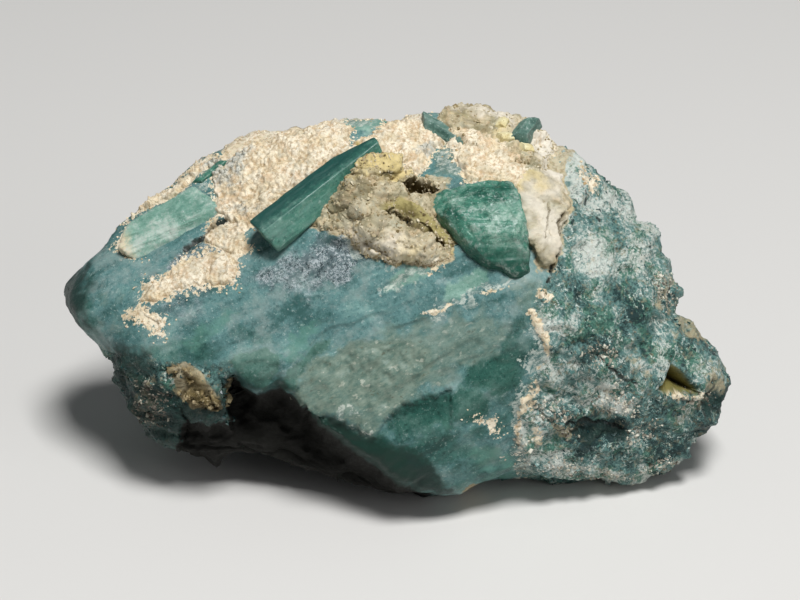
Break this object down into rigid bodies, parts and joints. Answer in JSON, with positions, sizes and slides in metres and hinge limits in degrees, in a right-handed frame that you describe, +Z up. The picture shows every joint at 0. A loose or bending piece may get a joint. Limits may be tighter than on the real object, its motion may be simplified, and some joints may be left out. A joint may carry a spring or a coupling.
{
  "type": "grandidierite specimen",
  "caption": "Blue-green grandidierite hand specimen with a cleavage face, cream crust, brown matrix and prismatic crystals, resting on its flat base.",
  "frame": {"origin": "on the resting plane, under the middle of the specimen's bounding box", "axes": "+X along the specimen's length, towards its sugary lobe; +Y towards the back; +Z up. The display face leans back 32 degrees from the -Y side"},
  "size_m": [0.0711, 0.034, 0.0376],
  "materials": {
    "grandidierite": "satin"
  },
  "bodies": {
    "root": {"grandidierite_specimen": "grandidierite"}
  },
  "joints": []
}
